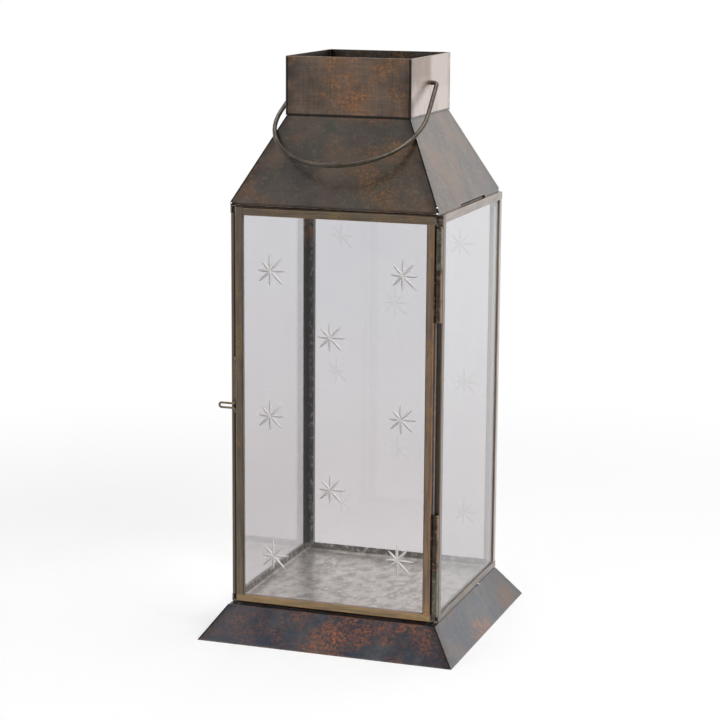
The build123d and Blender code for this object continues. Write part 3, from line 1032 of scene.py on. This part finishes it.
@dataclass
class SolderedSeams:
    """Drops of solder left on the seams of the roof and skirt."""

    name: str
    body: str
    drops: tuple[SolderDrop, ...]
    unevenness: float = 0.12
    seed: int = 3

    def build(self, solder: bpy.types.Material) -> bpy.types.Object:
        """Model each drop as an uneven flattened bead and join them.

        Args:
            solder: Finish of the drops.

        Returns:
            The joined drops.
        """
        beads = [self._bead(drop, self.seed + number) for number, drop in enumerate(self.drops)]
        piece = join(beads, self.name)
        piece.data.materials.clear()
        piece.data.materials.append(solder)
        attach(piece, self.body)
        log.info("soldered %s: %d drops", piece.name, len(self.drops))
        return piece

    def _bead(self, drop: SolderDrop, seed: int) -> bpy.types.Object:
        """Model one drop, with its place in its mesh.

        Args:
            drop: The drop.
            seed: Seed of its unevenness.

        Returns:
            The bead.
        """
        place = Vector(drop.place) * MM
        deselect()
        bpy.ops.mesh.primitive_ico_sphere_add(subdivisions=3, radius=drop.radius * MM, location=place)
        bead = bpy.context.object
        bpy.ops.object.transform_apply(location=True, rotation=True, scale=True)
        bpy.ops.object.mode_set(mode="EDIT")
        bpy.ops.mesh.select_all(action="SELECT")
        bpy.ops.transform.resize(value=(1, 1, drop.flatness), center_override=place)
        bpy.ops.transform.vertex_random(offset=self.unevenness * drop.radius * MM, seed=seed)
        bpy.ops.mesh.vertices_smooth(factor=0.5, repeat=2)
        bpy.ops.object.mode_set(mode="OBJECT")
        run = Vector(drop.run) * MM
        if run.length:
            for vertex in bead.data.vertices:
                vertex.select = (vertex.co - place).dot(run) > 0
            bpy.ops.object.mode_set(mode="EDIT")
            bpy.ops.transform.translate(value=run)
            bpy.ops.object.mode_set(mode="OBJECT")
        bpy.ops.object.shade_smooth()
        return bead


@dataclass
class SheetMetal:
    """The skirt, roof and chimney plates."""

    skirt_ends: PatinatedCopper
    skirt_sides: PatinatedCopper
    roof: PatinatedCopper
    chimney: PatinatedCopper

    def dress(self) -> None:
        """Give each plate the finish of its part."""
        skirt_ends = self.skirt_ends.build()
        skirt_sides = self.skirt_sides.build()
        roof = self.roof.build()
        for side in ("front", "right", "back", "left"):
            dress(f"skirt_{side}", skirt_ends if side in ("front", "back") else skirt_sides)
            dress(f"roof_{side}", roof)
        dress("roof_seat", roof)
        dress("chimney", self.chimney.build())
        log.info("dressed the sheet metal")


@dataclass
class Lamp:
    """A soft square lamp: its name, middle, side and power in watts."""

    name: str
    place: tuple[float, float, float]
    size: float
    power: float

    def hang(self, target: Vector) -> None:
        """Hang the lamp and point it at the lantern.

        Args:
            target: The point that it faces.
        """
        data = bpy.data.lights.new(self.name, "AREA")
        data.size = self.size
        data.energy = self.power
        lamp = bpy.data.objects.new(self.name, data)
        turn = (Vector(self.place) - target).to_track_quat("Z", "Y").to_matrix().to_4x4()
        lamp.matrix_world = Matrix.Translation(self.place) @ turn
        bpy.context.collection.objects.link(lamp)


@dataclass
class Studio:
    """Pale floor, soft lamps, bright background and the camera at the photograph's place.

    Metal facing the camera mirrors the dim front of the room, and metal turned away mirrors the bright
    back. The floor keeps the lantern's shadow within the first radius and is white past the second.
    """

    floor_half: float = 4.0
    floor_colour: str = "#d2d2d2"
    shadow_radii: tuple[float, float] = (0.3, 0.9)
    near_glow: float = 0.44
    front_glow: float = 0.5
    ceiling_glow: float = 0.6
    room: float = 0.27
    floor_turn: tuple[float, float] = (-0.55, 0.35)
    wall_turn: tuple[float, float] = (-0.25, 0.4)
    ceiling_at: float = 0.9
    lamps: tuple[Lamp, ...] = (
        Lamp("key", (1.3, -0.9, 1.5), 1.0, 20.0),
        Lamp("fill", (-1.4, -1.2, 0.9), 1.2, 6.0),
        Lamp("top", (0.1, 0.3, 1.7), 1.2, 10.0),
    )
    azimuth: float = 18.97
    elevation: float = 11.17
    roll: float = 0.38
    distance: float = 1.737
    target: tuple[float, float, float] = (-0.0061, 0.0, 0.2099)
    focal_pixels: float = 2199.0
    image_pixels: float = 720.0
    sensor: float = 36.0

    def build(self) -> None:
        """Set up the floor, the light and the camera."""
        self._floor()
        self._world()
        for lamp in self.lamps:
            lamp.hang(Vector(self.target))
        self._camera()
        bpy.context.scene.view_settings.view_transform = "Standard"

    def _floor(self) -> None:
        """Lay the floor, which shows white away from the lantern and keeps its shadow near it."""
        deselect()
        bpy.ops.mesh.primitive_plane_add(size=2 * self.floor_half)
        floor = bpy.context.object
        floor.name = "floor"
        # Matt white board: no shine, so that it only takes the shadow
        material = bpy.data.materials.new("matt_white_floor")
        material.use_nodes = True
        tree = material.node_tree
        tree.nodes.clear()
        place = add_node(tree, "TexCoord").outputs["Object"]
        seen, mirrored = self._rays(tree)
        radius = add_node(tree, "VectorMath", {"operation": "LENGTH"}, {0: place}).outputs["Value"]
        far = add_node(tree, "MapRange", SMOOTHSTEP, {
            "Value": radius, "From Min": self.shadow_radii[0], "From Max": self.shadow_radii[1]}).outputs[0]
        depth = add_node(tree, "SeparateXYZ", None, {0: place}).outputs[1]
        room = add_node(tree, "MapRange", SMOOTHSTEP, {
            "Value": depth, "From Min": self.floor_turn[0], "From Max": self.floor_turn[1],
            "To Min": self.front_glow, "To Max": 1.0}).outputs[0]
        room = add_node(tree, "Math", {"operation": "MULTIPLY"}, {0: room, 1: mirrored}).outputs[0]
        shown = add_node(tree, "Mix", FLOAT_MIX, {0: far, 2: self.near_glow, 3: 1.0}).outputs[0]
        glow = add_node(tree, "Mix", FLOAT_MIX, {0: seen, 2: room, 3: shown}).outputs[0]
        hidden = add_node(tree, "Mix", FLOAT_MIX, {0: seen, 2: mirrored, 3: far}).outputs[0]
        colour = add_node(tree, "Mix", {"data_type": "RGBA"}, {
            0: hidden, 6: linear(self.floor_colour), 7: linear("#000000")}).outputs[2]
        matt = add_node(tree, "BsdfDiffuse", None, {"Color": colour})
        light = add_node(tree, "Emission", None, {"Strength": glow})
        total = add_node(tree, "AddShader", None, {0: matt.outputs[0], 1: light.outputs[0]})
        add_node(tree, "OutputMaterial", None, {"Surface": total.outputs[0]})
        floor.data.materials.append(material)

    def _rays(self, tree: bpy.types.NodeTree) -> tuple[Socket, Socket]:
        """Tell apart the rays that meet the room.

        Args:
            tree: Node tree of the floor or the world.

        Returns:
            Masks of rays seen by the camera, straight or through glass, and of rays that the lantern
            mirrored.
        """
        rays = add_node(tree, "LightPath").outputs
        bounced, scattered = [add_node(tree, "Math", {"operation": "GREATER_THAN"}, {
            0: rays[depth], 1: 0.5}).outputs[0] for depth in ("Glossy Depth", "Diffuse Depth")]
        seen, mirrored, strayed = [add_node(tree, "Math", {"operation": "MAXIMUM"}, {
            0: one, 1: other}).outputs[0] for one, other in (
                (rays["Is Camera Ray"], rays["Is Transmission Ray"]),
                (rays["Is Glossy Ray"], bounced), (bounced, scattered))]
        seen, mirrored = [add_node(tree, "Math", {"operation": "SUBTRACT", "use_clamp": True}, {
            0: mask, 1: stop}).outputs[0] for mask, stop in ((seen, strayed), (mirrored, scattered))]
        return seen, mirrored

    def _world(self) -> None:
        """Light the room: white where it is seen, and mirrored bright behind and dim in front."""
        world = bpy.data.worlds.new("studio")
        bpy.context.scene.world = world
        world.use_nodes = True
        tree = world.node_tree
        seen, mirrored = self._rays(tree)
        direction = add_node(tree, "TexCoord").outputs["Generated"]
        axes = add_node(tree, "SeparateXYZ", None, {0: direction}).outputs
        behind = add_node(tree, "MapRange", SMOOTHSTEP, {
            "Value": axes[1], "From Min": self.wall_turn[0], "From Max": self.wall_turn[1]}).outputs[0]
        front = add_node(tree, "MapRange", None, {
            "Value": axes[2], "From Min": 0.0, "From Max": self.ceiling_at,
            "To Min": self.front_glow, "To Max": self.ceiling_glow}).outputs[0]
        room = add_node(tree, "Mix", FLOAT_MIX, {0: behind, 2: front, 3: 1.0}).outputs[0]
        light = add_node(tree, "Mix", FLOAT_MIX, {0: mirrored, 2: self.room, 3: room}).outputs[0]
        light = add_node(tree, "Mix", FLOAT_MIX, {0: seen, 2: light, 3: 1.0}).outputs[0]
        background = tree.nodes["Background"]
        background.inputs["Color"].default_value = linear("#ffffff")
        tree.links.new(light, background.inputs["Strength"])

    def _camera(self) -> None:
        """Place the camera where the photograph was taken from."""
        azimuth = math.radians(self.azimuth)
        elevation = math.radians(self.elevation)
        roll = math.radians(self.roll)
        back = Vector((math.sin(azimuth) * math.cos(elevation),
                       -math.cos(azimuth) * math.cos(elevation), math.sin(elevation)))
        right = (-back).cross(Vector((0, 0, 1))).normalized()
        up = right.cross(-back)
        across = right * math.cos(roll) + up * math.sin(roll)
        upward = up * math.cos(roll) - right * math.sin(roll)
        data = bpy.data.cameras.new("camera")
        data.sensor_width = self.sensor
        data.lens = self.focal_pixels / self.image_pixels * self.sensor
        camera = bpy.data.objects.new("camera", data)
        turn = Matrix((across, upward, back)).transposed().to_4x4()
        camera.matrix_world = Matrix.Translation(Vector(self.target) + back * self.distance) @ turn
        bpy.context.collection.objects.link(camera)
        bpy.context.scene.camera = camera


SKIRT_COPPER = PatinatedCopper(
    "patinated_copper_skirt", ground="#4a4c54", shade="#363c49", film="#696b6c", stain="#5c4a42",
    bloom="#b96c40", film_strength=0.6, bloom_span=(0.44, 0.64), bloom_mm=32.0, grain_mm=1.6,
    brush_strength=0.12, fleck_strength=0.2, shift=1.0, edge="#7d6a5a", cut_level=0.0002,
    rubbed=(0.02, 0.045))
SKIRT_SIDE_COPPER = replace(
    SKIRT_COPPER, name="patinated_copper_skirt_sides", ground="#66666a", shade="#555a63", film="#75726a",
    stain="#7a6a5c", bloom="#a06c4a", bloom_span=(0.46, 0.7), rubbed=None, dim_from=0.007,
    spots=((-0.012, 0.004), (0.07, 0.007)))
ROOF_COPPER = PatinatedCopper(
    "patinated_copper_roof", ground="#6a5c52", shade="#4f4945", film="#4a544b", stain="#75593e",
    bloom="#9a6a40", film_strength=0.8, bloom_strength=0.75, bloom_span=(0.44, 0.66), cut_level=0.3384,
    dim_from=0.02)
CHIMNEY_COPPER = PatinatedCopper(
    "patinated_copper_chimney", ground="#8d7666", shade="#5e534b", film="#6a635a", stain="#8e6848",
    bloom="#bf8556", bloom_mm=22.0, brush_strength=0.22, seam_mm=2.0, cut_level=0.45, shadow_line_level=0.4056,
    reflection_half=0.05, kept_above=0.429, inner_half=0.0496)
DOOR_BRASS = AgedBrass("aged_brass_door", "#9a8069", "#746355", "#bd9058", "#bb8350")
RAIL_BRASS = AgedBrass("aged_brass_bottom_rail", "#ad9068", "#7d6b55", "#c8a26b", "#bd8d5c")
GREY_BRASS = AgedBrass(
    "aged_brass_door_grey", "#82725f", "#63584c", "#a08153", "#8a7157", darkening="#231f1c", lip_strength=0.9)
FRAME_BRASS = AgedBrass(
    "aged_brass_frame", "#7c7066", "#5f554e", "#917c65", "#957152", web="#a39b93", lip_strength=0.2)
# Painted reflection: the top rails are paler, for the bright room that they mirror at a grazing angle
TOP_BRASS = AgedBrass(
    "aged_brass_top_rail", "#9f9289", "#877b72", "#ad9c8c", "#a98567", lip_strength=0.2)
# The left front stile's web takes painted shadow and dirt along the door's gap
LEFT_BRASS = replace(
    FRAME_BRASS, name="aged_brass_left_front", ground="#9c8e82", shade="#7d7168", web="#d0c9c2",
    darkening="#181513", gap_strength=0.9)
# Painted reflection: the rear stiles are paler, for the bright room that they mirror at a grazing angle
REAR_BRASS = replace(
    FRAME_BRASS, name="aged_brass_rear_stile", ground="#c6b8ac", shade="#a89c92", glow="#cbb8a3",
    lip_strength=0.0)
HINGE_BRASS = DrawnWire("drawn_brass_tube", "#5c4f45", "#3d3631", "#a58c76", 9, highlight_from=0.0836)
KNUCKLE_BRASS = DrawnWire("drawn_brass_tube_pale", "#737064", "#524f48", "#9f9584", 9, highlight_from=0.0838)
CATCH_BRASS = DrawnWire("drawn_brass_wire", "#8f8270", "#6a5f50", "#a99b86", 5, (0.3, 0.4))
BAIL_STEEL = DrawnWire("patinated_steel_wire", "#5f5850", "#474139", "#6b5e50", 18, (0.3, 0.42))
TRAY_ZINC = GalvanisedSteel(
    "galvanised_steel_tray", "#dad6d0", "#f2f0ec", "#aaa59f", (0.34, 0.48), (1.3, 2, 1), pale_cover="#b4b1ae",
    pale_cover_from=0.0796, lip_height=0.0275)
LEFT_ZINC = GalvanisedSteel(
    "galvanised_steel_angle_left", "#5c5855", "#b2ada7", "#3e3a38", (0.32, 0.45), (1, 1, 1.5),
    rust_height=0.28, dark_corner_from=0.0762)
# Painted light: a near-white, mostly matt cover over all of the right angle makes a lit copy of the left
# angle's zinc; the door stops take the cover beyond 79 mm from the middle
WHITE_ZINC = replace(LEFT_ZINC, pale_cover="#f4f0ee", rust_height=None, dark_corner_from=None)
RIGHT_ZINC = replace(WHITE_ZINC, name="galvanised_steel_angle_right", metal=0.15)
STOP_ZINC = replace(WHITE_ZINC, name="galvanised_steel_stop", pale_cover_from=0.079)
CLEAR_GLASS = FloatGlass()
LEFT_GLASS = FloatGlass("float_glass_left", "#e9e8ea", "#e7e6e8", "#dddadb")
RIGHT_GLASS = FloatGlass("float_glass_right", "#e4e4e6", "#e2e2e4", "#cecbcd")
DOOR_CUTS = GroundGlass("ground_glass", 0.08, 0.5, "#f2eeed", "#e4e0df")
BACK_CUTS = GroundGlass(
    "ground_glass_back", 0.93, 0.06, "#e7e5e6", "#e2e0e2", grey="#d2d0d1", grey_from=0.03)
FRAMES = (
    GlazedFrame("door", {
        "bottom_rail": RAIL_BRASS, "top_rail": GREY_BRASS, "catch_stile": GREY_BRASS,
        "hinge_stile": DOOR_BRASS}),
    GlazedFrame("left_side", {
        "bottom_rail": FRAME_BRASS, "top_rail": TOP_BRASS, "front_stile": LEFT_BRASS,
        "rear_stile": REAR_BRASS}),
    GlazedFrame("right_side", {
        "bottom_rail": FRAME_BRASS, "top_rail": TOP_BRASS, "front_stile": FRAME_BRASS,
        "rear_stile": REAR_BRASS}),
    GlazedFrame("back", dict.fromkeys(
        ("bottom_rail", "top_rail", "left_stile", "right_stile"), FRAME_BRASS)),
)
DOOR_STARS = (
    (-51.3, 290.1), (54.1, 292.3), (-3.0, 241.8), (-51.4, 177.8), (53.8, 183.1), (-2.4, 123.8),
    (-49.0, 66.9), (51.8, 73.1))
BACK_STARS = (
    (-50.9, 296.0), (49.0, 295.0), (-3.8, 243.0), (-54.9, 182.6), (54.6, 181.0), (-0.5, 121.4),
    (-49.6, 71.3), (55.5, 71.3))
SOLDER_DROPS = (
    SolderDrop((81.7, -81.7, 342.2), 1.0, run=(-1.2, 1.2, 2.0)), SolderDrop((81.2, -82.3, 340.0), 1.2),
    SolderDrop((-81.6, -82.2, 340.6), 1.0), SolderDrop((84.7, 32.3, 26.4), 1.1),
    SolderDrop((-83.6, -84.3, 25.8), 0.8))


def main() -> None:
    """Dress the frame, model the cut panes, wires and solder, and set up the studio."""
    logging.basicConfig(level=logging.INFO, format="%(message)s")
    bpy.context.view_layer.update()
    SheetMetal(SKIRT_COPPER, SKIRT_SIDE_COPPER, ROOF_COPPER, CHIMNEY_COPPER).dress()
    for glazed in FRAMES:
        glazed.dress()
    dress("front_header", FRAME_BRASS.build(Came("front_header", "door_pane")))
    tube = HINGE_BRASS.build()
    pale_tube = KNUCKLE_BRASS.build()
    for hinge in ("upper", "lower"):
        dress(f"hinge_{hinge}_frame_knuckle", pale_tube)
        dress(f"hinge_{hinge}_door_knuckle", tube)
        dress(f"hinge_{hinge}_pin", tube)
    dress("floor_tray", TRAY_ZINC.build())
    stop_zinc = STOP_ZINC.build()
    for side, zinc, glass in (("left", LEFT_ZINC, LEFT_GLASS), ("right", RIGHT_ZINC, RIGHT_GLASS)):
        dress(f"rear_corner_angle_{side}", zinc.build())
        dress(f"door_stop_{side}", stop_zinc)
        dress(f"{side}_side_pane", glass.build())
        frame["nodes"][f"{side}_side_pane"].visible_shadow = False
    log.info("dressed the hinges, the zinc and the side panes")
    clear = CLEAR_GLASS.build()
    StarCutPane("door_pane", "door", CutFace.BACK, DOOR_STARS).build(clear, DOOR_CUTS.build())
    StarCutPane(
        "back_pane", "body", CutFace.FRONT, BACK_STARS, ray_width=1.8, ray_depth=0.5, seed=9,
    ).build(clear, BACK_CUTS.build())
    Bail().build(BAIL_STEEL.build())
    CatchWire().build(CATCH_BRASS.build())
    SolderedSeams("solder_drops", "body", SOLDER_DROPS).build(TinSolder().build())
    Studio().build()


if __name__ == "__main__":
    main()
